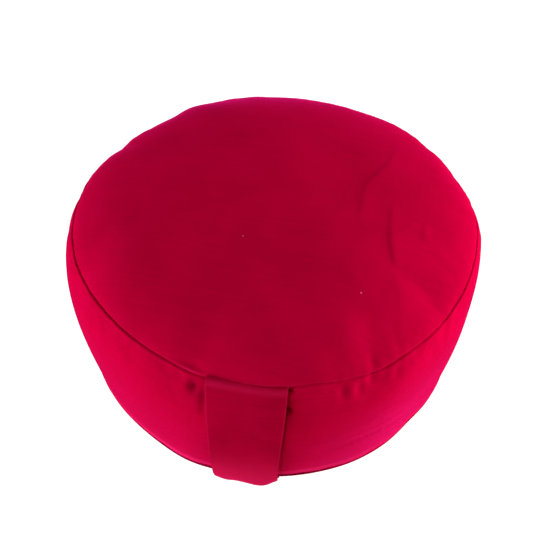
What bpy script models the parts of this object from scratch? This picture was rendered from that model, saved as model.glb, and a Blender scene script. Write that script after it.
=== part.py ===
"""Round meditation cushion with a cloth carrying strap sewn into its side.

Metres, +Z up. The origin is the middle of the flat base, on the floor. The
strap hangs down the side that faces -Y. Azimuths are in degrees, counted from
the strap's middle (-Y) towards +X, and a place on the cover is given by its
azimuth and by how far it lies below the upper seam along the cloth, negative
on the top panel.
"""
import math

import bmesh
import bpy
from mathutils import Vector

# The filled cover. Its top and bottom panels are cut alike, and the band
# between them swells most above its middle.
SEAM_RADIUS = 0.1570
SEAM_HEIGHT = 0.1342
BASE_SEAM_RADIUS = 0.1563
BASE_SEAM_HEIGHT = 0.0079
BAND_HEIGHT = SEAM_HEIGHT - BASE_SEAM_HEIGHT
BAND_BULGE = 0.0092
BULGE_LEAN = 0.61
CROWN_RISE = 0.0307
CROWN_FULLNESS = 2.2
CROWN_SHOULDER = 0.6
FLAT_RADIUS = 0.1344

# How deep the stitching draws the two seams in
SEAM_DRAW = 0.0018
BASE_SEAM_DRAW = 0.0010

# The cover's mesh: rings down each panel and steps round it, closer together
# near the seams and near the strap
CROWN_RINGS = 14
CROWN_CROWDING = 1.7
BAND_RINGS = 16
CURL_RINGS = 4
STEPS = 96
FRONT_CROWDING = 0.35

# Slow unevenness of the sewn and filled cover: waves round it, their size and
# the azimuth of one crest
SEAM_SWELL = ((2, 0.00065, 164.5), (3, 0.00116, 131.4), (4, 0.00097, 106.2))
SEAM_LIFT = ((1, 0.00050, 96.9), (2, 0.00079, 129.6), (3, 0.00032, 55.4))
BAND_SWELL = ((1, 0.00091, -80.0), (2, 0.00049, 140.1))
BASE_SWELL = ((2, 0.00076, 143.1),)

# Where the upper seam hangs low or rides high: azimuth, half width in
# degrees and drop, which dies out down the band
SEAM_SAGS = (
    (-46.0, 9.0, -0.0018),
    (-13.0, 6.0, 0.0026),
    (15.0, 5.0, -0.0025),
    (32.5, 5.0, 0.0024),
    (56.0, 4.0, 0.0016),
)
SAG_REACH = 0.044

# Where the base bellies out over the floor: azimuth, half width in degrees
# and size
BASE_BULGES = ((-17.0, 8.0, 0.0013), (38.0, 8.0, 0.0009))

# Hollows that the gathered cloth makes: azimuth, place below the seam, half
# width round the cushion, half height down it and depth. A swelling is a
# hollow of negative depth.
HOLLOWS = (
    (-20.5, 0.0080, 0.0050, 0.0060, 0.0012),
    (-17.0, 0.0055, 0.0038, 0.0045, 0.0014),
    (-13.2, 0.0075, 0.0052, 0.0060, 0.0034),
    (-15.0, -0.0060, 0.0100, 0.0035, 0.0022),
    (10.8, 0.0060, 0.0034, 0.0050, 0.0034),
    (10.4, 0.0220, 0.0036, 0.0045, 0.0030),
    (16.5, 0.0230, 0.0170, 0.0130, 0.0022),
    (23.7, 0.0080, 0.0042, 0.0070, 0.0015),
    (28.0, 0.0075, 0.0042, 0.0070, 0.0015),
    (32.4, 0.0070, 0.0042, 0.0070, 0.0016),
    (38.0, 0.0070, 0.0042, 0.0060, 0.0012),
    (31.4, -0.0085, 0.0040, 0.0060, 0.0014),
    (34.2, -0.0110, 0.0040, 0.0070, 0.0013),
    (44.0, -0.0110, 0.0045, 0.0080, 0.0013),
    (62.0, 0.0120, 0.0090, 0.0110, 0.0012),
    (-31.0, 0.0120, 0.0080, 0.0120, 0.0010),
    (-58.0, 0.0120, 0.0090, 0.0110, 0.0012),
    (97.0, 0.0140, 0.0160, 0.0140, -0.0014),
    (116.0, -0.0020, 0.0200, 0.0120, 0.0010),
    (140.0, 0.0110, 0.0110, 0.0120, 0.0012),
    (166.0, 0.0110, 0.0110, 0.0110, 0.0012),
    (-92.0, 0.0110, 0.0100, 0.0110, 0.0013),
    (-134.0, -0.0040, 0.0260, 0.0120, 0.0012),
    (-157.0, -0.0060, 0.0120, 0.0100, -0.0012),
)

# Long soft creases in the top panel: start, bend and end (x, y), half width
# and depth
CREASES = (
    ((0.0855, 0.0010), (0.0800, -0.0470), (0.1060, -0.1120), 0.0050, 0.0010),
    ((0.0905, 0.0840), (0.0860, 0.0640), (0.0815, 0.0440), 0.0045, 0.0008),
    ((0.0660, 0.0190), (0.0626, -0.0060), (0.0590, -0.0330), 0.0050, 0.0008),
    ((0.0550, -0.0440), (0.0490, -0.0650), (0.0430, -0.0840), 0.0070, 0.0006),
)
CREASE_SAMPLES = 24

# The strap: double cloth, one row for each section down it, with the height
# and the reach of the outer face from the middle of the cushion, the width
# left and right of its middle, and how far each edge lies behind the middle
STRAP_THICKNESS = 0.0016
STRAP_SECTIONS = (
    (0.1352, 0.1618, 0.0275, 0.0268, 0.0020, 0.0020),
    (0.1318, 0.1648, 0.0275, 0.0269, 0.0020, 0.0020),
    (0.1210, 0.1660, 0.0271, 0.0270, 0.0020, 0.0019),
    (0.1000, 0.1684, 0.0265, 0.0270, 0.0018, 0.0015),
    (0.0800, 0.1702, 0.0256, 0.0265, 0.0014, 0.0010),
    (0.0600, 0.1709, 0.0246, 0.0259, 0.0012, 0.0008),
    (0.0400, 0.1706, 0.0238, 0.0254, 0.0013, 0.0011),
    (0.0220, 0.1688, 0.0232, 0.0248, 0.0019, 0.0024),
    (0.0110, 0.1659, 0.0230, 0.0245, 0.0034, 0.0054),
    (0.0052, 0.1634, 0.0228, 0.0242, 0.0038, 0.0070),
    (0.0026, 0.1606, 0.0228, 0.0240, 0.0036, 0.0064),
    (0.0032, 0.1580, 0.0228, 0.0240, 0.0029, 0.0044),
    (0.0067, 0.1557, 0.0228, 0.0240, 0.0020, 0.0024),
)
STRAP_EDGE_CURVES = (2.0, 3.2)
STRAP_LOWEST = min(row[0] for row in STRAP_SECTIONS)
STRAP_ROWS_A_SECTION = 3
STRAP_COLUMNS = 12
STRAP_CLEARANCE = 0.0006
LEAN_STEP = 0.01

# Colours and roughness of the crimson cotton
CRIMSON = (0.45, 0.004, 0.045, 1.0)
STRAP_CRIMSON = (0.42, 0.004, 0.040, 1.0)
COTTON_ROUGHNESS = 0.9

MERGE_DISTANCE = 0.0001


def clear_scene():
    for item in list(bpy.data.objects):
        bpy.data.objects.remove(item, do_unlink=True)


def cotton(name, color):
    """A dull woven cotton in one colour."""
    material = bpy.data.materials.new(name)
    material.use_nodes = True
    shader = material.node_tree.nodes["Principled BSDF"]
    shader.inputs["Base Color"].default_value = color
    shader.inputs["Roughness"].default_value = COTTON_ROUGHNESS
    shader.inputs["Metallic"].default_value = 0.0
    material.diffuse_color = color
    return material


def add_object(name, mesh, material, collection):
    piece = bpy.data.objects.new(name, mesh)
    mesh.materials.clear()
    mesh.materials.append(material)
    collection.objects.link(piece)
    return piece


def bell(offset, half_width):
    """A soft bump that is 1 at its middle and dies away past its half width."""
    return math.exp(-(offset / half_width) ** 2)


def turn_between(azimuth, other):
    """The shorter turn from one azimuth to another, in degrees."""
    return (azimuth - other + 180.0) % 360.0 - 180.0


def waves(azimuth, table):
    return sum(
        size * math.cos(math.radians(count * (azimuth - crest)))
        for count, size, crest in table
    )


def local_rows(azimuth, table):
    return sum(
        size * bell(turn_between(azimuth, place), half_width)
        for place, half_width, size in table
    )


def seam_lift(azimuth):
    """How far the upper seam lies above its mean height."""
    return waves(azimuth, SEAM_LIFT) - local_rows(azimuth, SEAM_SAGS)


def crown_height(share):
    """Height of the top panel at a share of the seam's radius."""
    return SEAM_HEIGHT + CROWN_RISE * (1.0 - share**CROWN_FULLNESS) ** CROWN_SHOULDER


def band_bow(down):
    """The band's swell, as a share, at a share of its height below the seam."""
    return math.sin(math.pi * down**BULGE_LEAN)


def band_radius(down):
    straight = SEAM_RADIUS + (BASE_SEAM_RADIUS - SEAM_RADIUS) * down
    return straight + BAND_BULGE * band_bow(down)


def band_swell(down, azimuth):
    """Unevenness of the band's radius."""
    base = waves(azimuth, BASE_SWELL) + local_rows(azimuth, BASE_BULGES)
    return (
        waves(azimuth, SEAM_SWELL) * (1.0 - down)
        + base * down
        + waves(azimuth, BAND_SWELL) * band_bow(down)
    )


def cover_profile():
    """Half section of the cover as (radius, height), from the crown's middle
    down the band and under to the middle of the base."""
    points = []
    for ring in range(CROWN_RINGS):
        share = 1.0 - (1.0 - ring / CROWN_RINGS) ** CROWN_CROWDING
        points.append((SEAM_RADIUS * share, crown_height(share)))
    points.append((SEAM_RADIUS - SEAM_DRAW, SEAM_HEIGHT))
    for ring in range(1, BAND_RINGS):
        down = (1.0 - math.cos(math.pi * ring / BAND_RINGS)) / 2.0
        points.append((band_radius(down), SEAM_HEIGHT - BAND_HEIGHT * down))
    points.append((BASE_SEAM_RADIUS - BASE_SEAM_DRAW, BASE_SEAM_HEIGHT))
    for ring in range(1, CURL_RINGS + 1):
        under = ring / CURL_RINGS
        radius = BASE_SEAM_RADIUS + (FLAT_RADIUS - BASE_SEAM_RADIUS) * under
        height = BASE_SEAM_HEIGHT * (1.0 - math.sin(under * math.pi / 2.0))
        points.append((radius, height))
    points.append((0.0, 0.0))
    return points


def turned_cover(collection):
    """The cover as a turned form, before anything makes it uneven."""
    profile = bmesh.new()
    previous = None
    for radius, height in cover_profile():
        vertex = profile.verts.new((radius, 0.0, height))
        if previous is not None:
            profile.edges.new((previous, vertex))
        previous = vertex
    mesh = bpy.data.meshes.new("cover_profile")
    profile.to_mesh(mesh)
    profile.free()
    guide = bpy.data.objects.new("cover_profile", mesh)
    collection.objects.link(guide)
    turn = guide.modifiers.new("turn", "SCREW")
    turn.axis = "Z"
    turn.steps = STEPS
    turn.render_steps = STEPS
    turn.use_merge_vertices = True
    turn.merge_threshold = MERGE_DISTANCE
    evaluated = guide.evaluated_get(bpy.context.evaluated_depsgraph_get())
    cover = bpy.data.meshes.new_from_object(evaluated)
    bpy.data.objects.remove(guide, do_unlink=True)
    return cover


def gather_to_front(turn):
    """Azimuth of an evenly stepped turn once the steps crowd at the strap."""
    angle = math.radians(turn)
    return math.degrees(angle - FRONT_CROWDING * math.sin(angle))


def make_uneven(vertex):
    """Moves a point of the turned cover to where the filled cover has it."""
    radius = math.hypot(vertex.co.x, vertex.co.y)
    height = vertex.co.z
    azimuth = gather_to_front(math.degrees(math.atan2(vertex.co.x, -vertex.co.y)))
    share = min(1.0, radius / SEAM_RADIUS)
    lift = seam_lift(azimuth)
    if height >= SEAM_HEIGHT:
        swell = waves(azimuth, SEAM_SWELL)
        fade = share**4
    else:
        down = min(1.0, (SEAM_HEIGHT - height) / BAND_HEIGHT)
        swell = band_swell(down, azimuth)
        fade = bell(SEAM_HEIGHT - height, SAG_REACH) * (1.0 - down)
    radius += swell * share**2
    turn = math.radians(azimuth)
    vertex.co.x = radius * math.sin(turn)
    vertex.co.y = -radius * math.cos(turn)
    vertex.co.z = height + lift * fade


def place_on_cover(point):
    """Azimuth, radius and distance below the upper seam of a point."""
    radius = math.hypot(point.x, point.y)
    azimuth = math.degrees(math.atan2(point.x, -point.y))
    rise = point.z - SEAM_HEIGHT - seam_lift(azimuth)
    seam_radius = SEAM_RADIUS + waves(azimuth, SEAM_SWELL)
    below = math.hypot(radius - seam_radius, rise)
    return azimuth, radius, -below if rise > 0.0 else below


def hollow_depth(azimuth, radius, below):
    depth = 0.0
    for place, level, half_round, half_down, deepest in HOLLOWS:
        around = math.radians(turn_between(azimuth, place)) * radius
        depth += deepest * bell(around, half_round) * bell(below - level, half_down)
    return depth


def crease_depth(point):
    """Depth of the top panel's creases under a point, fading at their ends."""
    depth = 0.0
    for start, bend, end, half_width, deepest in CREASES:
        nearest = math.inf
        along = 0.0
        for sample in range(CREASE_SAMPLES + 1):
            part = sample / CREASE_SAMPLES
            rest = 1.0 - part
            x = rest**2 * start[0] + 2.0 * rest * part * bend[0] + part**2 * end[0]
            y = rest**2 * start[1] + 2.0 * rest * part * bend[1] + part**2 * end[1]
            distance = math.hypot(point.x - x, point.y - y)
            if distance < nearest:
                nearest = distance
                along = part
        depth += deepest * bell(nearest, half_width) * math.sin(math.pi * along) ** 0.5
    return depth


def build_cushion(collection):
    """Top panel, band and bottom panel, sewn together and filled."""
    mesh = turned_cover(collection)
    mesh.name = "cushion"
    cover = bmesh.new()
    cover.from_mesh(mesh)
    for vertex in cover.verts:
        make_uneven(vertex)
    cover.normal_update()
    moves = []
    for vertex in cover.verts:
        azimuth, radius, below = place_on_cover(vertex.co)
        depth = hollow_depth(azimuth, radius, below)
        if below < 0.0:
            depth += crease_depth(vertex.co)
        moves.append(vertex.co - vertex.normal * depth)
    for vertex, place in zip(cover.verts, moves):
        if vertex.co.z > BASE_SEAM_HEIGHT:
            vertex.co = place
    bmesh.ops.recalc_face_normals(cover, faces=cover.faces)
    cover.to_mesh(mesh)
    cover.free()
    mesh.shade_smooth()
    mesh.set_sharp_from_angle(angle=math.radians(50.0))
    add_object("cushion", mesh, cotton("crimson_cotton", CRIMSON), collection)


def smooth_between(before, here, after, beyond, part):
    """A curve from here to after that heads the way its neighbours lie."""
    slope = after - before
    bend = 2.0 * before - 5.0 * here + 4.0 * after - beyond
    twist = 3.0 * (here - after) + beyond - before
    return here + 0.5 * part * (slope + part * (bend + part * twist))


def strap_section(place):
    """The table's row at a place from 0, the top, to 1, the lower end."""
    last = len(STRAP_SECTIONS) - 1
    row = min(int(place * last), last - 1)
    part = place * last - row
    before = STRAP_SECTIONS[max(row - 1, 0)]
    beyond = STRAP_SECTIONS[min(row + 2, last)]
    columns = zip(before, STRAP_SECTIONS[row], STRAP_SECTIONS[row + 1], beyond)
    return [smooth_between(*column, part) for column in columns]


def resting_depth(x, height):
    """How far out the strap's outer face is where it lies on the band."""
    down = min(1.0, max(0.0, (SEAM_HEIGHT - height) / BAND_HEIGHT))
    above = max(0.0, down - LEAN_STEP)
    run = max((down - above) * BAND_HEIGHT, MERGE_DISTANCE)
    lean = (band_radius(down) - band_radius(above)) / run
    azimuth = math.degrees(math.asin(x / band_radius(down)))
    layer = (STRAP_THICKNESS + STRAP_CLEARANCE) * math.hypot(1.0, lean)
    radius = band_radius(down) + band_swell(down, azimuth) + layer
    return math.sqrt(radius**2 - x**2)


def strap_point(across, place):
    """Outer face of the strap: across runs from -1, its left edge, to 1."""
    height, reach, left, right, left_back, right_back = strap_section(place)
    if across < 0.0:
        half_width, back, curve = left, left_back, STRAP_EDGE_CURVES[0]
    else:
        half_width, back, curve = right, right_back, STRAP_EDGE_CURVES[1]
    x = across * half_width
    azimuth = math.degrees(math.asin(x / reach))
    hang = max(0.0, (height - STRAP_LOWEST) / (SEAM_HEIGHT - STRAP_LOWEST))
    depth = reach - back * abs(across) ** curve
    if height > BASE_SEAM_HEIGHT:
        depth = max(depth, resting_depth(x, height))
    return Vector((x, -depth, height + seam_lift(azimuth) * hang**2))


def build_strap(collection):
    """The carrying strap, caught in the upper seam and, turned under, in the
    lower one."""
    rows = STRAP_ROWS_A_SECTION * (len(STRAP_SECTIONS) - 1)
    sheet = bmesh.new()
    bmesh.ops.create_grid(sheet, x_segments=STRAP_COLUMNS, y_segments=rows, size=1.0)
    for vertex in sheet.verts:
        vertex.co = strap_point(vertex.co.x, (1.0 - vertex.co.y) / 2.0)
    bmesh.ops.recalc_face_normals(sheet, faces=sheet.faces)
    sheet.normal_update()
    middle = min(sheet.faces, key=lambda face: face.calc_center_median().y)
    if middle.normal.y > 0.0:
        bmesh.ops.reverse_faces(sheet, faces=sheet.faces)
    mesh = bpy.data.meshes.new("handle_strap")
    sheet.to_mesh(mesh)
    sheet.free()
    mesh.shade_smooth()
    strap = add_object("handle_strap", mesh, cotton("strap_cotton", STRAP_CRIMSON), collection)
    thicken = strap.modifiers.new("double_cloth", "SOLIDIFY")
    thicken.thickness = STRAP_THICKNESS
    thicken.offset = -1.0
    thicken.use_even_offset = True


def main():
    clear_scene()
    collection = bpy.data.collections.new("meditation_cushion")
    bpy.context.scene.collection.children.link(collection)
    build_cushion(collection)
    build_strap(collection)


main()
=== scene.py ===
# A round meditation cushion in crimson cotton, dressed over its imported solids.
# Metres. The strap hangs on the -Y side, and azimuths are degrees from it towards +X.
import math

import bmesh
import bpy
import numpy as np
from mathutils import Matrix, Vector


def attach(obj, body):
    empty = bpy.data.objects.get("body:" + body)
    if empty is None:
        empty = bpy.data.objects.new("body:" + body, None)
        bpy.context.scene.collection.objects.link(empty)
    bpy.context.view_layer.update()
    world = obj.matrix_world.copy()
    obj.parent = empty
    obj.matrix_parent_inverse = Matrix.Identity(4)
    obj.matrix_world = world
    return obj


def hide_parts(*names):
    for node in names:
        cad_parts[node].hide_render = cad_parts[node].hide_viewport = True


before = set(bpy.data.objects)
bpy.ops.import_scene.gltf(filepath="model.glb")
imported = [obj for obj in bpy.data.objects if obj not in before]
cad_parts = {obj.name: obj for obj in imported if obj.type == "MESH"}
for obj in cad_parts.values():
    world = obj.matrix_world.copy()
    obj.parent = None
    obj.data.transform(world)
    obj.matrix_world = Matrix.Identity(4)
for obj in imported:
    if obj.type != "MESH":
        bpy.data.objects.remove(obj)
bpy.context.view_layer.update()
print("frame loaded")

tiny = 1e-9  # keeps a divisor from being zero


def bell(offset, halfWidth):
    return np.exp(-((offset / halfWidth) ** 2))


def turnBetween(azimuth, other):
    return (azimuth - other + 180.0) % 360.0 - 180.0  # the shorter way round


def waves(azimuth, rows):
    return sum(size * np.cos(np.radians(count * (azimuth - crest))) for count, size, crest in rows)


def localRows(azimuth, rows):
    return sum(size * bell(turnBetween(azimuth, place), half) for place, half, size in rows)


def alongTable(place, table, knots):
    # smooth values between the rows of a table, whose knots run from 0 to 1
    table = np.array(table).reshape(len(table), -1)
    slope = np.gradient(table, knots, axis=0)
    row = np.clip(np.searchsorted(knots, place, side="right") - 1, 0, len(table) - 2)
    width = (knots[row + 1] - knots[row])[:, None]
    part = (place - knots[row])[:, None] / width
    start = table[row] * (1.0 + 2.0 * part) + slope[row] * width * part
    end = table[row + 1] * (3.0 - 2.0 * part) - slope[row + 1] * width * (1.0 - part)
    return (start * (1.0 - part) ** 2 + end * part ** 2).T


def pointsOf(mesh):
    flat = np.empty(len(mesh.vertices) * 3, dtype=np.float32)
    mesh.vertices.foreach_get("co", flat)
    return flat.reshape(-1, 3).astype(float)


def normalsOf(mesh):
    flat = np.empty(len(mesh.vertices) * 3, dtype=np.float32)
    mesh.vertex_normals.foreach_get("vector", flat)
    return flat.reshape(-1, 3).astype(float)


def setPoints(mesh, points):
    mesh.vertices.foreach_set("co", points.astype(np.float32).ravel())
    mesh.update()


def setWearAndPaintedLight(mesh, amount):
    # 1 is pale, from rubbed wear and painted highlights, and -1 is dark, painted shade
    layer = mesh.attributes.new("wearAndPaintedLight", "FLOAT", "POINT")
    layer.data.foreach_set("value", np.clip(amount, -1.0, 1.0).astype(np.float32))


def addObject(name, mesh):
    piece = bpy.data.objects.new(name, mesh)
    bpy.context.scene.collection.objects.link(piece)
    return piece


def evaluatedMesh(piece):
    shown = piece.evaluated_get(bpy.context.evaluated_depsgraph_get())
    return bpy.data.meshes.new_from_object(shown)


# The filled cover: two round panels and a band, sewn along two seams.

cover = {
    "seamRadius": 0.1570,
    "seamHeight": 0.1342,
    "baseSeamRadius": 0.1563,
    "baseSeamHeight": 0.0079,
    "crownRise": 0.0307,
    "crownFullness": 2.2,
    "crownShoulder": 0.6,
    "bandBulge": 0.0092,
    "bulgeLean": 0.61,  # the band swells most above its middle
    "flatRadius": 0.1344,
    "flatMargin": 1e-6,
    # waves round the cushion, size, azimuth of a crest: from a least-squares fit to the
    # photo's outline and seam, which the solids share
    "seamSwell": (
        (2, 0.00065, 164.5),
        (3, 0.00116, 131.4),
        (4, 0.00097, 106.2),
    ),
    "seamLift": ((1, 0.00050, 96.9), (2, 0.00079, 129.6), (3, 0.00032, 55.4)),
    "bandSwell": ((1, 0.00091, -80.0), (2, 0.00049, 140.1)),
    "baseSwell": ((2, 0.00076, 143.1),),
    "seamSags": (  # azimuth, half width in degrees, drop
        (-46.0, 9.0, -0.0018),
        (-13.0, 6.0, 0.0026),
        (15.0, 5.0, -0.0025),
        (32.5, 5.0, 0.0024),
        (56.0, 4.0, 0.0016),
    ),
    "sagReach": 0.044,
    "seamBumps": (  # azimuth, half width in degrees, swell
        (-166.0, 4.0, 0.0014),
        (-144.0, 6.5, 0.0038),
        (-114.0, 3.5, -0.0024),
        (-98.0, 9.0, 0.0010),
        (143.0, 9.0, 0.0020),
        (131.0, 3.0, -0.0012),
        (116.0, 4.0, -0.0010),
    ),
    "baseBulges": (  # the same, at the base seam
        (-17.0, 8.0, 0.0012),
        (-34.0, 13.0, -0.0012),
        (30.0, 7.0, 0.0004),
        (53.0, 8.0, -0.0020),
    ),
    # x, y, half width, rise: how unevenly the filling lies under the top, as a fit to the
    # photo's shading gave them
    "crownSwells": (
        (0.053, -0.085, 0.046, 0.0027),
        (-0.030, -0.057, 0.046, -0.0028),
        (0.053, 0.053, 0.046, -0.0018),
        (-0.099, -0.079, 0.034, 0.0024),
        (0.062, -0.121, 0.016, 0.0021),
        (-0.057, 0.108, 0.046, 0.0026),
        (-0.002, -0.085, 0.046, -0.0029),
        (0.047, 0.004, 0.024, -0.0014),
        (-0.057, -0.030, 0.046, -0.0023),
        (0.100, -0.082, 0.016, 0.0016),
        (0.053, -0.112, 0.046, 0.0024),
        (-0.112, -0.057, 0.046, 0.0021),
        (-0.090, -0.090, 0.034, 0.0020),
        (0.044, 0.023, 0.034, -0.0011),
        (0.004, -0.054, 0.024, -0.0017),
        (0.053, -0.057, 0.046, 0.0015),
    ),
    "fillingEdge": 8,  # powers of the share of the radius: the higher, the nearer to the seam
    "crowdingEdge": 6,
    "liftEdge": 4,
    "swellEdge": 2,
    "curveSamples": 900,
    "diskSquares": 68,  # squares along one side of the top's middle; four sides make one ring
    "diskShare": 0.52,
    "finestRing": 0.0009,
    "ringGrowth": 1.25,
    "widestRing": 0.0032,
    "frontCrowding": 0.3,  # how far the faces crowd towards the strap's side, in radians
    "gapCrowding": (9.8, 5.0, 0.5),  # azimuth, half width in degrees, share
}
bandHeight = cover["seamHeight"] - cover["baseSeamHeight"]


def crownHeight(share):
    fall = (1.0 - np.minimum(share, 1.0) ** cover["crownFullness"]) ** cover["crownShoulder"]
    return cover["seamHeight"] + cover["crownRise"] * fall


def bandBow(down):
    return np.sin(np.pi * down ** cover["bulgeLean"])


def bandRadius(down):
    straight = cover["seamRadius"] + (cover["baseSeamRadius"] - cover["seamRadius"]) * down
    return straight + cover["bandBulge"] * bandBow(down)


def downBand(height):
    # 0 at the top seam and 1 at the base seam
    return np.clip((cover["seamHeight"] - height) / bandHeight, 0.0, 1.0)


def seamLift(azimuth):
    return waves(azimuth, cover["seamLift"]) - localRows(azimuth, cover["seamSags"])


def bandSwell(down, azimuth):
    seam = waves(azimuth, cover["seamSwell"]) + localRows(azimuth, cover["seamBumps"])
    base = waves(azimuth, cover["baseSwell"]) + localRows(azimuth, cover["baseBulges"])
    return seam * (1.0 - down) + base * down + waves(azimuth, cover["bandSwell"]) * bandBow(down)


def coverCurve():
    # half section from the crown's middle to the base's middle, with the distance along the cloth
    part = (1.0 - np.cos(np.linspace(0.0, np.pi, cover["curveSamples"]))) / 2.0
    share = np.sin(part * np.pi / 2.0)
    curl = cover["baseSeamRadius"] - cover["flatRadius"]
    rows = [
        (cover["seamRadius"] * share, crownHeight(share)),
        (bandRadius(part), cover["seamHeight"] - bandHeight * part),
        (cover["baseSeamRadius"] - curl * part, cover["baseSeamHeight"] * (1.0 - share)),
        (cover["flatRadius"] * (1.0 - part), np.zeros_like(part)),
    ]
    radius = np.concatenate([row[0][1:] if count else row[0] for count, row in enumerate(rows)])
    height = np.concatenate([row[1][1:] if count else row[1] for count, row in enumerate(rows)])
    along = np.concatenate([[0.0], np.cumsum(np.hypot(np.diff(radius), np.diff(height)))])
    last = cover["curveSamples"] - 1
    along -= along[last]
    return {
        "along": along,
        "radius": radius,
        "height": height,
        "top": along[0],
        "baseSeam": along[2 * last],
        "flat": along[3 * last],
        "end": along[-1],
    }


curve = coverCurve()
print("cover's seams lie", round(float(curve["baseSeam"]) * 1000, 1), "mm apart along the cloth")


def curveAt(place):
    # radius and height at a place along the cloth
    return [float(np.interp(place, curve["along"], curve[key])) for key in ("radius", "height")]


def onFlat(along):
    return along > curve["flat"] - cover["flatMargin"]


def ringsBetween(start, end, finestAtEnd):
    # places from start to end, close together at a seam and widening away from it
    places = [0.0]
    step = cover["finestRing"]
    length = abs(end - start) * (0.5 if finestAtEnd else 1.0)
    while places[-1] < length:
        places.append(places[-1] + step)
        step = min(step * cover["ringGrowth"], cover["widestRing"])
    places = np.array(places) * length / places[-1]
    if finestAtEnd:
        places = np.concatenate([places, 2.0 * length - places[-2::-1]])
    return start + places * np.sign(end - start)


def buildCover():
    form = bmesh.new()
    along = form.verts.layers.float.new("along")
    squares = cover["diskSquares"]
    bmesh.ops.create_grid(form, x_segments=squares, y_segments=squares, size=1.0)
    reach = -cover["diskShare"] * curve["top"]
    for vertex in form.verts:
        x, y = vertex.co.x, vertex.co.y
        across = x * math.sqrt(1.0 - y * y / 2.0)
        up = y * math.sqrt(1.0 - x * x / 2.0)
        distance = math.hypot(across, up) * reach
        vertex[along] = curve["top"] + distance
        radius, height = curveAt(curve["top"] + distance)
        scale = radius / max(distance, tiny) * reach
        vertex.co = (across * scale, up * scale, height)
    topRings = ringsBetween(0.0, curve["top"] + reach, False)[::-1][1:]
    bandRings = ringsBetween(0.0, curve["baseSeam"], True)[1:]
    curlRings = ringsBetween(curve["baseSeam"], curve["flat"], False)[1:]
    rim = [edge for edge in form.edges if edge.is_boundary]
    for place in np.concatenate([topRings, bandRings, curlRings]):
        grown = bmesh.ops.extrude_edge_only(form, edges=rim)["geom"]
        rim = [item for item in grown if isinstance(item, bmesh.types.BMEdge)]
        radius, height = curveAt(place)
        for vertex in (item for item in grown if isinstance(item, bmesh.types.BMVert)):
            scale = radius / math.hypot(vertex.co.x, vertex.co.y)
            vertex.co = (vertex.co.x * scale, vertex.co.y * scale, height)
            vertex[along] = place
    bmesh.ops.recalc_face_normals(form, faces=form.faces)
    if max(form.faces, key=lambda face: face.calc_center_median().z).normal.z < 0.0:
        bmesh.ops.reverse_faces(form, faces=form.faces)
    mesh = bpy.data.meshes.new("cushionCover")
    form.to_mesh(mesh)
    form.free()
    mesh.shade_smooth()
    return mesh


def alongOf(mesh):
    values = np.empty(len(mesh.vertices), dtype=np.float32)
    mesh.attributes["along"].data.foreach_get("value", values)
    return values.astype(float)


def azimuthOf(points):
    return np.degrees(np.arctan2(points[:, 0], -points[:, 1]))


def makeUneven(points):
    radius = np.hypot(points[:, 0], points[:, 1])
    height = points[:, 2]
    azimuth = azimuthOf(points)
    share = np.minimum(1.0, radius / cover["seamRadius"])
    azimuth = azimuth - np.degrees(cover["frontCrowding"] * np.sin(np.radians(azimuth))) * share
    place, half, crowding = cover["gapCrowding"]
    away = turnBetween(azimuth, place)
    azimuth = azimuth - crowding * away * bell(away, half) * share ** cover["crowdingEdge"]
    down = downBand(height)
    onTop = height >= cover["seamHeight"]
    swell = np.where(onTop, bandSwell(0.0, azimuth), bandSwell(down, azimuth))
    drop = bell(cover["seamHeight"] - height, cover["sagReach"]) * (1.0 - down)
    fade = np.where(onTop, share ** cover["liftEdge"], drop)
    radius = radius + swell * share ** cover["swellEdge"]
    turn = np.radians(azimuth)
    across, back = radius * np.sin(turn), -radius * np.cos(turn)
    filling = np.zeros_like(height)
    for x, y, half, rise in cover["crownSwells"]:
        filling += rise * bell(np.hypot(across - x, back - y), half)
    filling = np.where(onTop, filling * (1.0 - share ** cover["fillingEdge"]), 0.0)
    return np.stack([across, back, height + seamLift(azimuth) * fade + filling], axis=1)


# The cloth simulation that gathers the cover at its seams.

gather = {
    "frames": 20,
    "pressure": 3.0,
    "quality": 5,
    "mass": 0.2,
    "stretch": 20.0,
    "shear": 7.0,
    "bending": 0.3,
    "spareCloth": 0.02,  # how much longer the cloth is than the form that it covers
    "heldWidth": 0.0014,
    "evenings": 160,  # rounds of averaging that find the slow part of a move
    "keepAtSeam": (0.12, 0.5),  # on the panel and on the band
    "keepAtBase": 0.3,
    "keepAway": 0.15,
    "keepReach": 0.022,
    "mostMove": 0.0014,
}


def evenOut(values, edges, rounds, held):
    # averages each point with its neighbours, again and again
    ends = np.concatenate([edges[:, 0], edges[:, 1]])
    others = np.concatenate([edges[:, 1], edges[:, 0]])
    count = np.bincount(ends, minlength=len(values))
    for turn in range(rounds):
        for axis in range(3):
            total = np.bincount(ends, weights=values[others, axis], minlength=len(values))
            values[:, axis] = (values[:, axis] + total / count) / 2.0
        values[held] = 0.0
    return values


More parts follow.
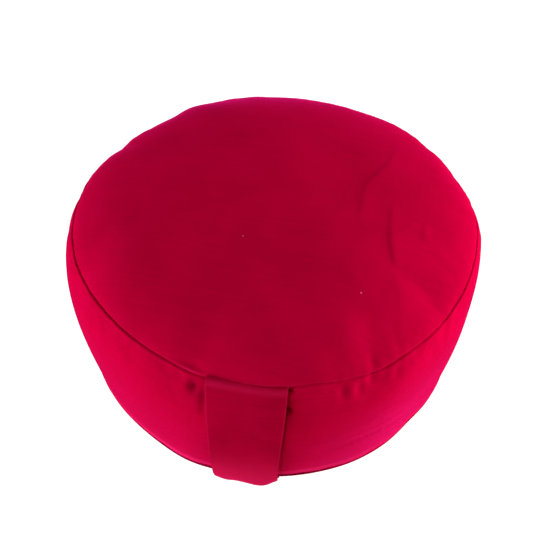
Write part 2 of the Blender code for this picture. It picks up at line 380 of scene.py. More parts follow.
def gatherCover(mesh):
    start = pointsOf(mesh)
    along = alongOf(mesh)
    held = np.abs(along) < gather["heldWidth"]
    held |= np.abs(along - curve["baseSeam"]) < gather["heldWidth"]
    held |= onFlat(along)
    piece = addObject("coverCloth", mesh)
    group = piece.vertex_groups.new(name="held")
    group.add([int(place) for place in np.flatnonzero(held)], 1.0, "REPLACE")
    cloth = piece.modifiers.new("gathering", "CLOTH")
    cloth.settings.quality = gather["quality"]
    cloth.settings.mass = gather["mass"]
    cloth.settings.tension_stiffness = gather["stretch"]
    cloth.settings.compression_stiffness = gather["stretch"]
    cloth.settings.shear_stiffness = gather["shear"]
    cloth.settings.bending_stiffness = gather["bending"]
    cloth.settings.shrink_min = -gather["spareCloth"]
    cloth.settings.use_pressure = True
    cloth.settings.uniform_pressure_force = gather["pressure"]
    cloth.settings.vertex_group_mass = "held"
    cloth.settings.effector_weights.gravity = 0.0
    cloth.point_cache.frame_start = 1
    cloth.point_cache.frame_end = gather["frames"]
    for moment in range(1, gather["frames"] + 1):
        bpy.context.scene.frame_set(moment)
        bpy.context.view_layer.update()
    settled = evaluatedMesh(piece)
    move = pointsOf(settled) - start
    bpy.data.meshes.remove(settled)
    bpy.data.objects.remove(piece, do_unlink=True)
    bpy.context.scene.frame_set(1)
    edges = np.empty(len(mesh.edges) * 2, dtype=np.int32)
    mesh.edges.foreach_get("vertices", edges)
    slow = evenOut(move.copy(), edges.reshape(-1, 2), gather["evenings"], held)
    keep = np.full(len(start), gather["keepAway"])
    nearSeam = np.where(along < 0.0, *gather["keepAtSeam"])
    for place, most in ((0.0, nearSeam), (curve["baseSeam"], gather["keepAtBase"])):
        keep += (most - gather["keepAway"]) * bell(along - place, gather["keepReach"])
    quick = (move - slow) * keep[:, None]
    length = np.linalg.norm(quick, axis=1)
    limit = np.minimum(1.0, gather["mostMove"] / np.maximum(length, tiny))
    setPoints(mesh, start + quick * limit[:, None])
    print("cover gathered, usual move", round(float(np.median(length)) * 1000, 2), "mm")


def refine(mesh, name):
    # one subdivision; then one flat face closes the middle of the base
    piece = addObject("refining", mesh)
    finer = piece.modifiers.new("finer", "SUBSURF")
    finer.levels = 1
    finer.render_levels = 1
    fine = evaluatedMesh(piece)
    fine.name = name
    bpy.data.objects.remove(piece, do_unlink=True)
    bpy.data.meshes.remove(mesh)
    form = bmesh.new()
    form.from_mesh(fine)
    bmesh.ops.holes_fill(form, edges=[edge for edge in form.edges if edge.is_boundary], sides=0)
    form.to_mesh(fine)
    form.free()
    return fine


# The cover's seams, gathers, dents and creases, set on the fine mesh.

relief = {
    # place along the cloth, half width, depth, and (azimuth, half width in degrees, more depth)
    "seams": (
        (
            0.0,
            0.0005,
            0.0009,
            (
                (-70.0, 40.0, 0.0013),
                (85.0, 25.0, 0.0010),
                (0.0, 8.0, -0.0006),
                (-15.0, 9.0, -0.0003),
            ),
        ),
        (curve["baseSeam"] - 0.0032, 0.0008, 0.0020, ()),
    ),
    "lips": (  # height, place beside each seam's groove, half width
        (0.00025, 0.0019, 0.0010),
        (0.0010, 0.0026, 0.0012),
    ),
    "hollows": (  # azimuth, below the seam (above it if negative), half round, half down, depth
        (-19.6, 0.0080, 0.0050, 0.0040, 0.0009),
        (-16.9, 0.0062, 0.0040, 0.0036, 0.0016),
        (-13.2, 0.0110, 0.0036, 0.0048, 0.0036),
        (-10.6, 0.0120, 0.0042, 0.0060, 0.0018),
        (-10.3, 0.0230, 0.0022, 0.0120, 0.0009),
        (-7.5, 0.0190, 0.0085, 0.0190, 0.0028),
        (75.0, 0.0350, 0.0300, 0.0300, 0.0012),
        (-13.4, -0.0055, 0.0095, 0.0030, 0.0020),
        (9.0, 0.0290, 0.0250, 0.0200, 0.0044),
        (18.8, 0.0140, 0.0036, 0.0070, 0.0005),
        (22.9, 0.0088, 0.0034, 0.0062, 0.0013),
        (19.0, 0.0022, 0.0120, 0.0032, 0.0009),
        (27.0, 0.0105, 0.0036, 0.0058, 0.0010),
        (26.4, 0.0015, 0.0060, 0.0030, 0.0008),
        (30.6, 0.0048, 0.0030, 0.0042, 0.0012),
        (37.4, 0.0085, 0.0034, 0.0060, 0.0008),
        (31.6, -0.0070, 0.0034, 0.0050, 0.0009),
        (39.6, -0.0100, 0.0040, 0.0080, 0.0004),
        (62.0, 0.0120, 0.0090, 0.0110, 0.0010),
        (-31.0, 0.0120, 0.0080, 0.0120, 0.0009),
        (-58.0, 0.0120, 0.0090, 0.0110, 0.0010),
        (97.0, 0.0140, 0.0160, 0.0140, -0.0014),
        (116.0, -0.0020, 0.0200, 0.0120, 0.0008),
        (140.0, 0.0110, 0.0110, 0.0120, 0.0010),
        (166.0, 0.0110, 0.0110, 0.0110, 0.0010),
        (-92.0, 0.0110, 0.0100, 0.0110, 0.0011),
        (-134.0, -0.0040, 0.0260, 0.0120, 0.0010),
        (-157.0, -0.0060, 0.0120, 0.0100, -0.0010),
    ),
    "gap": {  # where the band is drawn in behind the strap's right edge
        "start": 0.0004,
        "halfWidth": 0.0009,
        "depth": (0.0008, 0.0016),  # at its lower and upper end
        "heights": (0.012, 0.136),
        "fades": (0.02, 0.003),  # over how much height its lower and upper end fade in
        "notches": (  # height, half height, width
            (0.1335, 0.0024, 0.0020),
            (0.1120, 0.0030, 0.0022),
        ),
        "notchDepth": 0.0050,
    },
    "creases": (  # points (x, y) along it, half width to its left and right, depth
        (
            (
                (0.0872, 0.0010),
                (0.0868, -0.0196),
                (0.0867, -0.0347),
                (0.0889, -0.0482),
                (0.0920, -0.0625),
            ),
            (0.0019, 0.0090),
            -0.00085,
        ),
        (
            ((0.0890, -0.0600), (0.0938, -0.0811), (0.0966, -0.0974), (0.0964, -0.1153)),
            (0.0026, 0.0050),
            -0.00022,
        ),
        (
            (
                (0.0917, 0.0860),
                (0.0833, 0.0505),
                (0.0754, 0.0358),
                (0.0668, 0.0192),
                (0.0640, -0.0030),
                (0.0619, -0.0290),
            ),
            (0.0021, 0.0080),
            -0.00080,
        ),
        (((0.0930, -0.0270), (0.1010, -0.0190), (0.1085, -0.0095)), (0.0022, 0.0050), -0.00035),
        (((0.1135, -0.0100), (0.1115, -0.0300)), (0.0020, 0.0040), -0.00030),
        (((0.0541, -0.0450), (0.0490, -0.0653), (0.0440, -0.0840)), (0.0060, 0.0060), 0.00025),
        (((-0.0319, -0.0121), (-0.0063, -0.0500), (0.0170, -0.0822)), (0.0090, 0.0090), -0.00030),
    ),
    "creaseSamples": 40,
    "panelTurn": 7.0,  # how the panels' threads lie, degrees from across the strap
    # place along the cloth, half width, wear, and (azimuth, half width in degrees, more wear); a
    # positive sum is pale, rubbed wear with painted highlights, and a negative sum is painted
    # shade
    "wearAndPaintedLightMarks": (
        # pale lip above the top seam, strongest by the strap: painted highlight with some rubbed
        # wear
        (-0.0014, 0.0009, 0.03, ((0.0, 9.0, 0.20), (-15.0, 3.0, 0.30))),
        # dark spots in the puckers beside the strap: painted shade
        (0.0095, 0.0050, 0.0, ((-13.0, 1.4, -0.60), (23.4, 1.3, -0.35), (27.6, 1.2, -0.15))),
        # thin pale line above the base seam: painted highlight with some rubbed wear
        (curve["baseSeam"] - 0.0072, 0.0030, 0.36, ((-22.0, 14.0, 0.45), (20.0, 16.0, 0.45))),
        # paler band towards the base: painted light from the floor and painted sheen, with some
        # rubbed wear
        (curve["baseSeam"] - 0.0040, 0.0200, 0.04, ((-22.0, 14.0, 0.14), (20.0, 18.0, 0.12))),
        # dark line along the base seam: painted shadow where the cushion meets the floor
        (curve["baseSeam"] - 0.0016, 0.0024, -0.35, ((-22.0, 16.0, -0.60), (13.0, 10.0, -0.60))),
    ),
}

gathers = {
    "seed": 11,
    "pitch": 0.0125,
    "stray": 0.32,  # how far a gather strays from even spacing, as a share of it
    "halfRound": 0.0032,
    "depth": 0.0005,
    "reach": (0.0080, 0.0110),  # on the panel and on the band
    "sizes": (0.4, 1.6),  # least and most, as a share of the usual depth
    "reaches": (0.6, 1.4),
    "slant": 0.5,
    "usual": 0.35,
    "strong": (  # azimuth, half width in degrees, how much stronger than usual
        (-132.0, 30.0, 0.8),
        (-65.0, 30.0, 0.25),
        (150.0, 40.0, 0.35),
        (31.0, 12.0, 0.4),
    ),
}


def hollowDepth(azimuth, radius, along):
    depth = np.zeros_like(azimuth)
    for place, level, halfRound, halfDown, deepest in relief["hollows"]:
        around = np.radians(turnBetween(azimuth, place)) * radius
        depth += deepest * bell(around, halfRound) * bell(along - level, halfDown)
    return depth


def creaseDepth(points, along):
    depth = np.zeros(len(points))
    part = np.linspace(0.0, 1.0, relief["creaseSamples"])
    for path, (leftWidth, rightWidth), deepest in relief["creases"]:
        line = alongTable(part, path, np.linspace(0.0, 1.0, len(path)))
        away = np.hypot(points[:, :1] - line[0], points[:, 1:2] - line[1])
        nearest = np.argmin(away, axis=1)
        ahead = np.gradient(line, axis=1)[:, nearest]
        offset = points[:, :2].T - line[:, nearest]
        halfWidth = np.where(ahead[0] * offset[1] > ahead[1] * offset[0], rightWidth, leftWidth)
        fade = np.sqrt(np.sin(np.pi * part))[nearest]
        depth += deepest * bell(away[np.arange(len(points)), nearest], halfWidth) * fade
    return np.where(along < 0.0, depth, 0.0)


def gatherDepth(azimuth, radius, along):
    # small folds that run away from the seam on both of its sides
    chance = np.random.default_rng(gathers["seed"])
    count = round(math.tau * cover["seamRadius"] / gathers["pitch"])
    depth = np.zeros_like(along)
    for number in range(count):
        place = (number + gathers["stray"] * chance.uniform(-1.0, 1.0)) * 360.0 / count - 180.0
        strength = gathers["usual"] + float(localRows(np.array(place), gathers["strong"]))
        size = gathers["depth"] * strength * chance.uniform(*gathers["sizes"])
        lean = gathers["slant"] * chance.uniform(-1.0, 1.0)
        around = np.radians(turnBetween(azimuth, place)) * radius + lean * along
        reach = np.where(along < 0.0, *gathers["reach"]) * chance.uniform(*gathers["reaches"])
        depth += size * bell(around, gathers["halfRound"]) * np.exp(-np.abs(along) / reach)
    return depth


def gapDepth(points, along):
    gap = relief["gap"]
    first, last = strap["freeRows"]
    table = np.array(strap["sections"][first:last])[::-1]
    height = points[:, 2]
    away = points[:, 0] - np.interp(height, table[:, 0], table[:, 3]) - gap["start"]
    low, high = gap["heights"]
    lowFade, highFade = gap["fades"]
    depth = np.interp(height, gap["heights"], gap["depth"]) * bell(away, gap["halfWidth"])
    for place, half, width in gap["notches"]:
        depth += gap["notchDepth"] * bell(away - width / 2.0, width) * bell(height - place, half)
    ends = np.clip((height - low) / lowFade, 0.0, 1.0)
    ends *= np.clip((high - height) / highFade, 0.0, 1.0)
    return np.where((points[:, 1] < 0.0) & (along > 0.0), depth * ends, 0.0)


def seamRelief(azimuth, along):
    height = np.zeros_like(along)
    for seam, lip in zip(relief["seams"], relief["lips"]):
        place, halfWidth, depth, deeper = seam
        away = np.abs(along - place)
        lipHeight, lipPlace, lipWidth = lip
        height -= (depth + localRows(azimuth, deeper)) * bell(away, halfWidth)
        height += lipHeight * bell(away - lipPlace, lipWidth)
    return height


def seamWearAndPaintedLight(azimuth, along):
    # adds up the rows: pale wear with painted highlights, and painted shade where a row goes below
    # zero
    amount = np.zeros_like(along)
    for place, half, usual, strong in relief["wearAndPaintedLightMarks"]:
        amount += (usual + localRows(azimuth, strong)) * bell(along - place, half)
    return amount


def layClothMap(mesh, points, along):
    # flat cutting coordinates in metres: the panels lie flat, and the band unrolls
    corners = np.empty(len(mesh.loops), dtype=np.int32)
    mesh.loops.foreach_get("vertex_index", corners)
    starts = np.empty(len(mesh.polygons), dtype=np.int32)
    counts = np.empty(len(mesh.polygons), dtype=np.int32)
    mesh.polygons.foreach_get("loop_start", starts)
    mesh.polygons.foreach_get("loop_total", counts)
    face = np.repeat(np.arange(len(starts)), counts)
    middle = np.bincount(face, weights=along[corners]) / counts
    azimuth = np.radians(azimuthOf(points))[corners]
    first = azimuth[starts][face]
    unrolled = first + (azimuth - first + np.pi) % math.tau - np.pi
    place = along[corners]
    onBand = (middle[face] > 0.0) & (middle[face] < curve["baseSeam"])
    spread = np.where(place < curve["baseSeam"] / 2.0, place - curve["top"], curve["end"] - place)
    turned = azimuth + math.radians(relief["panelTurn"])
    across = np.where(onBand, unrolled * cover["seamRadius"], spread * np.sin(turned))
    up = np.where(onBand, -place, -spread * np.cos(turned))
    layer = mesh.uv_layers.new(name="cloth")
    layer.data.foreach_set("uv", np.stack([across, up], axis=1).astype(np.float32).ravel())


def buildCushion():
    mesh = buildCover()
    setPoints(mesh, makeUneven(pointsOf(mesh)))
    gatherCover(mesh)
    mesh = refine(mesh, "cushionCover")
    along = alongOf(mesh)
    points = pointsOf(mesh)
    azimuth = azimuthOf(points)
    radius = np.hypot(points[:, 0], points[:, 1])
    depth = hollowDepth(azimuth, radius, along) + gatherDepth(azimuth, radius, along)
    depth += creaseDepth(points, along) + gapDepth(points, along) - seamRelief(azimuth, along)
    depth[onFlat(along)] = 0.0
    points -= normalsOf(mesh) * depth[:, None]
    points[:, 2] = np.maximum(points[:, 2], 0.0)
    setPoints(mesh, points)
    layClothMap(mesh, points, along)
    setWearAndPaintedLight(mesh, seamWearAndPaintedLight(azimuth, along))
    mesh.shade_smooth()
    piece = addObject("cushionCover", mesh)
    print("cushion cover", len(mesh.polygons), "faces")
    return piece


# The carrying strap: a doubled strip that comes out of the seam and turns under at the base.

strap = {
    "thickness": 0.0016,
    "clearance": 0.0006,
    "flatWidth": 0.0545,
    "meanWidth": 0.0505,
    "leanStep": 0.01,  # share of the band over which its lean is measured
    "leastRun": 1e-4,
    "edgeCurves": (2.0, 3.2),  # powers with which the left and right edge bend back
    "columns": 80,
    "rows": 190,
    "edgeRounding": 0.0006,
    "edgeSegments": 3,
    "edgeAngle": 60.0,
    "lengthSamples": 400,
    # height, reach, half width (left, right), how far the edge bends back (left, right)
    "sections": (
        (0.1338, 0.1560, 0.0272, 0.0264, 0.0022, 0.0022),
        (0.1348, 0.1581, 0.0273, 0.0266, 0.0021, 0.0021),
        (0.1350, 0.1607, 0.0275, 0.0268, 0.0020, 0.0020),
        (0.1334, 0.1630, 0.0275, 0.0269, 0.0020, 0.0020),
        (0.1305, 0.1646, 0.0275, 0.0269, 0.0020, 0.0020),
        (0.1210, 0.1660, 0.0273, 0.0269, 0.0020, 0.0019),
        (0.1000, 0.1684, 0.0270, 0.0264, 0.0018, 0.0015),
        (0.0800, 0.1702, 0.0264, 0.0256, 0.0014, 0.0010),
        (0.0600, 0.1709, 0.0256, 0.0249, 0.0012, 0.0008),
        (0.0400, 0.1706, 0.0248, 0.0246, 0.0013, 0.0011),
        (0.0220, 0.1688, 0.0240, 0.0243, 0.0019, 0.0024),
        (0.0110, 0.1659, 0.0236, 0.0242, 0.0034, 0.0054),
        (0.0052, 0.1634, 0.0233, 0.0240, 0.0038, 0.0070),
        (0.0026, 0.1606, 0.0231, 0.0239, 0.0036, 0.0064),
        (0.0032, 0.1580, 0.0230, 0.0240, 0.0029, 0.0044),
        (0.0067, 0.1557, 0.0228, 0.0240, 0.0020, 0.0024),
    ),
    "freeRows": (5, 12),  # the sections between the shoulder and the foot
    "footShift": (0.0004, 0.0, -0.0014, -0.0010, 0.0002, 0.0006, -0.0010),  # left to right
    "footReach": 0.016,
    "dents": (  # across, height, half across, half height, depth
        (0.15, 0.094, 0.55, 0.016, 0.0010),
        (-0.45, 0.076, 0.30, 0.010, 0.0006),
        (0.55, 0.110, 0.30, 0.012, 0.0006),
    ),
    "shoulderDrop": (-0.0024, 0.0012),  # how far the top is let down at its left and right edge
    "dropPower": 8,  # the higher, the nearer to the seam
    # half width, amount: a pale line along each folded edge, rubbed wear with a painted highlight
    "liftPower": 2,
    "edgeWearAndHighlight": (0.0008, 0.22),  # half width, wear
    "wearAndPaintedLightMarks": (  # place along the strap, half length, amount of pale wear and painted highlight
        # the shoulder below the seam: painted highlight where the top of the bend faces up, with
        # some rubbed wear
        (0.046, 0.018, 0.20),
        # the lower strap and foot, paler downwards: painted light from the white floor, with some
        # rubbed wear
        (0.800, 0.200, 0.38),
    ),
    "freeTop": (0.1325, 0.0100),  # the height where it starts to lie on the band, and the fade
    "easing": 0.0006,  # how softly the strap's free part meets the part that lies on the band
}


def restingDepth(x, height):
    # how far out the strap's outer face is where it lies on the band
    down = downBand(height)
    above = np.maximum(0.0, down - strap["leanStep"])
    run = np.maximum((down - above) * bandHeight, strap["leastRun"])
    lean = (bandRadius(down) - bandRadius(above)) / run
    azimuth = np.degrees(np.arcsin(x / bandRadius(down)))
    layer = (strap["thickness"] + strap["clearance"]) * np.hypot(1.0, lean)
    radius = bandRadius(down) + bandSwell(down, azimuth) + layer
    return np.sqrt(radius ** 2 - x ** 2)


def strapPoints(across, place):
    table = np.array(strap["sections"])
    steps = np.hypot(np.diff(table[:, 0]), np.diff(table[:, 1]))
    knots = np.concatenate([[0.0], np.cumsum(steps)]) / np.sum(steps)
    height, reach, left, right, leftBack, rightBack = alongTable(place, table, knots)
    toLeft = across < 0.0
    halfWidth = np.where(toLeft, left, right)
    back = np.where(toLeft, leftBack, rightBack)
    bendPower = np.where(toLeft, strap["edgeCurves"][0], strap["edgeCurves"][1])
    x = across * halfWidth
    azimuth = np.degrees(np.arcsin(x / reach))
    lowest = min(row[0] for row in strap["sections"])
    hang = np.maximum(0.0, (height - lowest) / (cover["seamHeight"] - lowest))
    depth = reach - back * np.abs(across) ** bendPower
    evenly = np.linspace(-1.0, 1.0, len(strap["footShift"]))
    shift = alongTable(across, strap["footShift"], evenly)[0]
    depth += shift * bell(height - lowest, strap["footReach"])
    for middle, level, halfAcross, halfHeight, deepest in strap["dents"]:
        depth -= deepest * bell(across - middle, halfAcross) * bell(height - level, halfHeight)
    freeTop, freeReach = strap["freeTop"]
    lies = np.clip((freeTop - height) / freeReach, 0.0, 1.0)
    lies = np.where(height > cover["baseSeamHeight"], lies * lies * (3.0 - 2.0 * lies), 0.0)
    touching = restingDepth(x, height)
    eased = (depth + touching + np.hypot(depth - touching, strap["easing"])) / 2.0
    depth += (eased - depth) * lies
    drop = np.interp(across, (-1.0, 1.0), strap["shoulderDrop"]) * hang ** strap["dropPower"]
    lift = seamLift(azimuth) * hang ** strap["liftPower"]
    # pale lines along the edges and pale places along the strap: rubbed wear with painted
    # highlights, and painted light from the floor at the foot
    halfEdge, edgeWearAndHighlightAmount = strap["edgeWearAndHighlight"]
    wearAndPaintedLightStrength = edgeWearAndHighlightAmount * bell((1.0 - np.abs(across)) * halfWidth, halfEdge)
    for middle, half, amount in strap["wearAndPaintedLightMarks"]:
        wearAndPaintedLightStrength = np.maximum(wearAndPaintedLightStrength, amount * bell(place - middle, half))
    return np.stack([x, -depth, height + lift - drop], axis=1), wearAndPaintedLightStrength


def buildStrap():
    form = bmesh.new()
    bmesh.ops.create_grid(form, x_segments=strap["columns"], y_segments=strap["rows"], size=1.0)
    mesh = bpy.data.meshes.new("handleStrap")
    form.to_mesh(mesh)
    form.free()
    grid = pointsOf(mesh)
    across = grid[:, 0]
    place = (1.0 - grid[:, 1]) / 2.0
    points, wearAndPaintedLightStrength = strapPoints(across, place)
    setPoints(mesh, points)
    setWearAndPaintedLight(mesh, wearAndPaintedLightStrength)
    # cutting coordinates: across in metres, and the length down the strap's middle
    steps = np.linspace(0.0, 1.0, strap["lengthSamples"])
    middle = strapPoints(np.zeros_like(steps), steps)[0]
    length = np.concatenate([[0.0], np.cumsum(np.linalg.norm(np.diff(middle, axis=0), axis=1))])
    corners = np.empty(len(mesh.loops), dtype=np.int32)
    mesh.loops.foreach_get("vertex_index", corners)
    layer = mesh.uv_layers.new(name="cloth")
    flat = np.stack([points[corners, 0], -np.interp(place[corners], steps, length)], axis=1)
    layer.data.foreach_set("uv", flat.astype(np.float32).ravel())
    if mesh.polygons[len(mesh.polygons) // 2].normal.y > 0.0:
        mesh.flip_normals()
    mesh.shade_smooth()
    piece = addObject("handleStrap", mesh)
    layers = piece.modifiers.new("doubleCloth", "SOLIDIFY")
    layers.thickness = strap["thickness"]
    layers.offset = -1.0
    layers.use_even_offset = True
    rounding = piece.modifiers.new("foldedEdges", "BEVEL")
    rounding.width = strap["edgeRounding"]
    rounding.segments = strap["edgeSegments"]
    rounding.limit_method = "ANGLE"
    rounding.angle_limit = math.radians(strap["edgeAngle"])
    print("handle strap", round(float(length[-1]) * 1000, 1), "mm long")
    return piece, float(length[-1])


# The cloth's material, its dyes and its nap.


def hexColour(code):
    channels = [int(code[place:place + 2], 16) / 255.0 for place in (1, 3, 5)]
    linear = [c / 12.92 if c <= 0.04045 else ((c + 0.055) / 1.055) ** 2.4 for c in channels]
    return (*linear, 1.0)


def addNode(tree, kind, settings=None, links=None):
    node = tree.nodes.new(kind)
    for name, value in (settings or {}).items():
        if isinstance(name, str) and hasattr(node, name):
            setattr(node, name, value)
        else:
            node.inputs[name].default_value = value
    for name, source in (links or {}).items():
        tree.links.new(source, node.inputs[name])
    return node


coverCotton = {
    "threadSpacing": 0.0006,
    "streaks": (12.0, 420.0),  # to the metre, along and across the yarn
    "streakNoise": {"Scale": 1.0, "Detail": 2.0, "Roughness": 0.6},
    "streakShares": (0.6, 0.2),
    "cloudNoise": {"Scale": 24.0, "Detail": 3.0, "Roughness": 0.55},
    "toneRange": (0.6, 1.2),
    "deepShade": "#aa0026",
    "lightShade": "#bb002c",
    # the pale shade serves rubbed wear and painted highlights; the dark one below it is painted
    # shade
    "paleWearAndHighlightShade": "#e81f5c",
    "paintedShadeColour": "#4a0010",
    "wearAndPaintedLightStrength": 0.8,
    "roughness": 0.9,
    "sheen": (0.35, 0.85),  # least and most nap
    "napPatch": 0.0024,
    "napDetail": {"Detail": 2.0, "Roughness": 0.6},
    "napRange": (0.35, 0.65),
    "sheenTint": "#ff2484",
    "sheenRoughness": 0.26,
    "bump": 0.35,
    "bumpHeight": 0.00012,
    "yarnBump": 0.5,
    "lint": (  # pale specks, metres
        (0.0680, -0.0901, 0.1572),
        (-0.0197, -0.0479, 0.1630),
        (0.1088, -0.1186, 0.1345),
    ),
    "lintRadius": 0.0007,
    "lintFlat": 0.1,  # heights count for a tenth, so that a speck meets the cloth
    "lintShade": "#d8506e",
}

strapCotton = {
    **coverCotton,
    # deep and light shades darker than the cover's: painted shade on the front-facing strap, where
    # little light falls; its pale shade serves rubbed wear and painted highlights
    "deepShade": "#94001e",
    "lightShade": "#aa0029",
    "paleWearAndHighlightShade": "#ff245c",
    "sheen": (0.15, 0.45),
    "lint": (),
}


def plainWeaveCotton(name, settings):
    # plain-woven cotton, dyed in the piece: dull, with faint thread streaks
    # and a soft pink nap at grazing angles
    material = bpy.data.materials.new(name)
    material.use_nodes = True
    tree = material.node_tree
    shader = tree.nodes["Principled BSDF"]
    cutting = addNode(tree, "ShaderNodeUVMap", {"uv_map": "cloth"}).outputs["UV"]
    place = addNode(tree, "ShaderNodeSeparateXYZ", links={"Vector": cutting})

    # the threads, which cross in small pillows
    threadTurn = {"operation": "MULTIPLY", 1: math.pi / settings["threadSpacing"]}
    threads = []
    for axis in ("X", "Y"):
        phase = addNode(tree, "ShaderNodeMath", threadTurn, {0: place.outputs[axis]})
        thread = addNode(tree, "ShaderNodeMath", {"operation": "SINE"}, {0: phase.outputs[0]})
        threads.append(thread.outputs[0])
    crossing = addNode(tree, "ShaderNodeMath", {"operation": "MULTIPLY"}, dict(enumerate(threads)))
    pillow = addNode(tree, "ShaderNodeMath", {"operation": "ABSOLUTE"}, {0: crossing.outputs[0]})

    # uneven yarn both ways, and patches that took more of the dye
    cloud = addNode(tree, "ShaderNodeTexNoise", settings["cloudNoise"], {"Vector": cutting})
    tone = cloud.outputs["Fac"]
    long, narrow = settings["streaks"]
    streaks = []
    for scale, share in zip(((long, narrow, 1.0), (narrow, long, 1.0)), settings["streakShares"]):
        spread = addNode(tree, "ShaderNodeMapping", {"Scale": scale}, {"Vector": cutting})
        spreadLink = {"Vector": spread.outputs[0]}
        streak = addNode(tree, "ShaderNodeTexNoise", settings["streakNoise"], spreadLink)
        streaks.append(streak.outputs["Fac"])
        mixed = {"operation": "MULTIPLY_ADD", 1: share}
        tone = addNode(tree, "ShaderNodeMath", mixed, {0: streaks[-1], 2: tone}).outputs[0]
    thinnest, thickest = settings["toneRange"]
    toneRange = {"From Min": thinnest, "From Max": thickest, "To Min": 0.0, "To Max": 1.0}
    share = addNode(tree, "ShaderNodeMapRange", toneRange, {"Value": tone})
    shades = {6: hexColour(settings["deepShade"]), 7: hexColour(settings["lightShade"])}
    colour = addNode(tree, "ShaderNodeMix", {"data_type": "RGBA", **shades}, {0: share.outputs[0]})

    # pale places, from rubbed wear and painted highlights, and dark places of painted shade
    wearAndPaintedLightMarks = addNode(tree, "ShaderNodeAttribute", {"attribute_name": "wearAndPaintedLight"})
    for sign, shade in ((settings["wearAndPaintedLightStrength"], "paleWearAndHighlightShade"), (-settings["wearAndPaintedLightStrength"], "paintedShadeColour")):
        amount = {"operation": "MULTIPLY", "use_clamp": True, 1: sign}
        wearAndPaintedLightShare = addNode(tree, "ShaderNodeMath", amount, {0: wearAndPaintedLightMarks.outputs["Fac"]})
        changed = {"data_type": "RGBA", 7: hexColour(settings[shade])}
        changeLinks = {0: wearAndPaintedLightShare.outputs[0], 6: colour.outputs[2]}
        colour = addNode(tree, "ShaderNodeMix", changed, changeLinks)

    # specks of lint
    spot = addNode(tree, "ShaderNodeTexCoord").outputs["Object"]
    flattened = {"Scale": (1.0, 1.0, settings["lintFlat"])}
    seenDown = addNode(tree, "ShaderNodeMapping", flattened, {"Vector": spot}).outputs[0]
    for x, y, z in settings["lint"]:
        away = {"operation": "DISTANCE", 1: (x, y, z * settings["lintFlat"])}
        away = addNode(tree, "ShaderNodeVectorMath", away, {0: seenDown})
        near = {"operation": "LESS_THAN", 1: settings["lintRadius"]}
        inside = addNode(tree, "ShaderNodeMath", near, {0: away.outputs["Value"]})
        fleck = {"data_type": "RGBA", 7: hexColour(settings["lintShade"])}
        fleckLinks = {0: inside.outputs[0], 6: colour.outputs[2]}
        colour = addNode(tree, "ShaderNodeMix", fleck, fleckLinks)
    tree.links.new(colour.outputs[2], shader.inputs["Base Color"])

    # nap that stands up in patches
    tufts = {"Scale": 1.0 / settings["napPatch"], **settings["napDetail"]}
    patch = addNode(tree, "ShaderNodeTexNoise", tufts, {"Vector": cutting})
    thin, thick = settings["napRange"]
    least, most = settings["sheen"]
    napRange = {"From Min": thin, "From Max": thick, "To Min": least, "To Max": most}
    nap = addNode(tree, "ShaderNodeMapRange", napRange, {"Value": patch.outputs["Fac"]})
    tree.links.new(nap.outputs[0], shader.inputs["Sheen Weight"])

    # the threads and the uneven yarn stand up from the cloth
    yarnBump = {"operation": "MULTIPLY_ADD", 1: settings["yarnBump"]}
    grain = addNode(tree, "ShaderNodeMath", yarnBump, {0: streaks[0], 2: pillow.outputs[0]})
    raised = {"Strength": settings["bump"], "Distance": settings["bumpHeight"]}
    bump = addNode(tree, "ShaderNodeBump", raised, {"Height": grain.outputs[0]})
    tree.links.new(bump.outputs[0], shader.inputs["Normal"])
    shader.inputs["Roughness"].default_value = settings["roughness"]
    shader.inputs["Specular IOR Level"].default_value = 0.0
    shader.inputs["Sheen Tint"].default_value = hexColour(settings["sheenTint"])
    shader.inputs["Sheen Roughness"].default_value = settings["sheenRoughness"]
    return material


# Pale floor, soft light and the camera.

stage = {
    "floorHalf": 6.0,
    "floorColour": "#7c7c7c",
    "floorRoughness": 0.9,
    "floorGlow": 1.06,  # the paper is lit from behind, so it stays white and hardly takes a shadow
    # azimuth, distance, height of the middle, width, height, watts, colour; the watts were
    # set out from a fit to the photo's shading
    "softboxes": (
        (75.0, 0.85, 1.06, 0.8, 0.8, 7.1, "#ffffff"),
        (105.0, 0.85, 1.06, 0.8, 0.8, 2.6, "#d2dcff"),
        (-90.0, 0.85, 1.06, 0.8, 0.8, 4.8, "#d2dcff"),
        (105.0, 1.3, 0.28, 0.8, 0.56, 39.0, "#d2dcff"),
        (-75.0, 1.3, 0.28, 0.8, 0.56, 21.0, "#d2dcff"),
        (-37.0, 1.3, 0.28, 0.8, 0.56, 7.0, "#d2dcff"),
        (170.0, 1.3, 0.28, 0.8, 0.56, 5.7, "#d2dcff"),
    ),
    "softboxAim": 0.07,
}

view = {
    "place": (0.03933, -0.43348, 0.55225),
    "azimuth": 5.1,
    "elevation": 48.158,
    "roll": -2.627,
    "lens": 50.0,
    "sensor": 36.0,
}


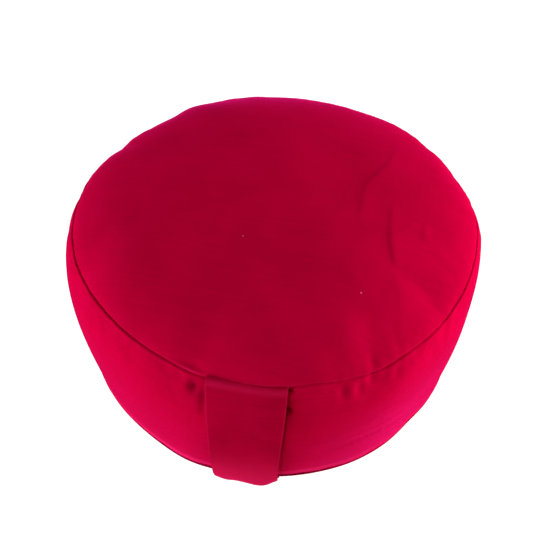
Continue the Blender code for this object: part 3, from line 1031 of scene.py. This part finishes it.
def addStage():
    form = bmesh.new()
    bmesh.ops.create_grid(form, x_segments=1, y_segments=1, size=stage["floorHalf"])
    mesh = bpy.data.meshes.new("floor")
    form.to_mesh(mesh)
    form.free()
    floor = addObject("floor", mesh)
    paper = bpy.data.materials.new("paleStudioPaper")
    paper.use_nodes = True
    shader = paper.node_tree.nodes["Principled BSDF"]
    shader.inputs["Base Color"].default_value = hexColour(stage["floorColour"])
    shader.inputs["Roughness"].default_value = stage["floorRoughness"]
    shader.inputs["Specular IOR Level"].default_value = 0.0
    shader.inputs["Emission Color"].default_value = (1.0, 1.0, 1.0, 1.0)
    shader.inputs["Emission Strength"].default_value = stage["floorGlow"]
    mesh.materials.append(paper)
    world = bpy.data.worlds.new("studio")
    world.use_nodes = True
    world.node_tree.nodes["Background"].inputs["Strength"].default_value = 0.0
    bpy.context.scene.world = world
    for number, row in enumerate(stage["softboxes"]):
        azimuth, distance, height, width, tall, watts, colour = row
        light = bpy.data.lights.new("softbox" + str(number), "AREA")
        light.shape = "RECTANGLE"
        light.size = width
        light.size_y = tall
        light.energy = watts
        light.color = hexColour(colour)[:3]
        lamp = bpy.data.objects.new(light.name, light)
        turn = math.radians(azimuth)
        lamp.location = (math.sin(turn) * distance, -math.cos(turn) * distance, height)
        ahead = Vector((0.0, 0.0, stage["softboxAim"])) - lamp.location
        lamp.rotation_euler = ahead.to_track_quat("-Z", "Y").to_euler()
        bpy.context.scene.collection.objects.link(lamp)


def addCamera():
    data = bpy.data.cameras.new("camera")
    data.lens = view["lens"]
    data.sensor_width = view["sensor"]
    camera = bpy.data.objects.new("camera", data)
    turn, rise, roll = (math.radians(view[key]) for key in ("azimuth", "elevation", "roll"))
    level = math.cos(rise)
    ahead = Vector((-math.sin(turn) * level, math.cos(turn) * level, -math.sin(rise)))
    aside = Vector((math.cos(turn), math.sin(turn), 0.0))
    up = aside.cross(ahead)
    right = aside * math.cos(roll) - up * math.sin(roll)
    top = aside * math.sin(roll) + up * math.cos(roll)
    turned = Matrix((right, top, -ahead)).transposed().to_4x4()
    camera.matrix_world = Matrix.Translation(view["place"]) @ turned
    bpy.context.scene.collection.objects.link(camera)
    bpy.context.scene.camera = camera


cushion = buildCushion()
cushion.data.materials.append(plainWeaveCotton("crimsonPlainWeaveCotton", coverCotton))
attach(cushion, "root")
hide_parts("cushion")

strapPiece, strapLength = buildStrap()
strapPiece.data.materials.append(plainWeaveCotton("strapDoubledCotton", strapCotton))
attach(strapPiece, "root")
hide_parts("handle_strap")
strapLength = round(strapLength, 3)

addStage()
addCamera()
bpy.context.scene.view_settings.view_transform = "Standard"
print("materials, light and camera set")
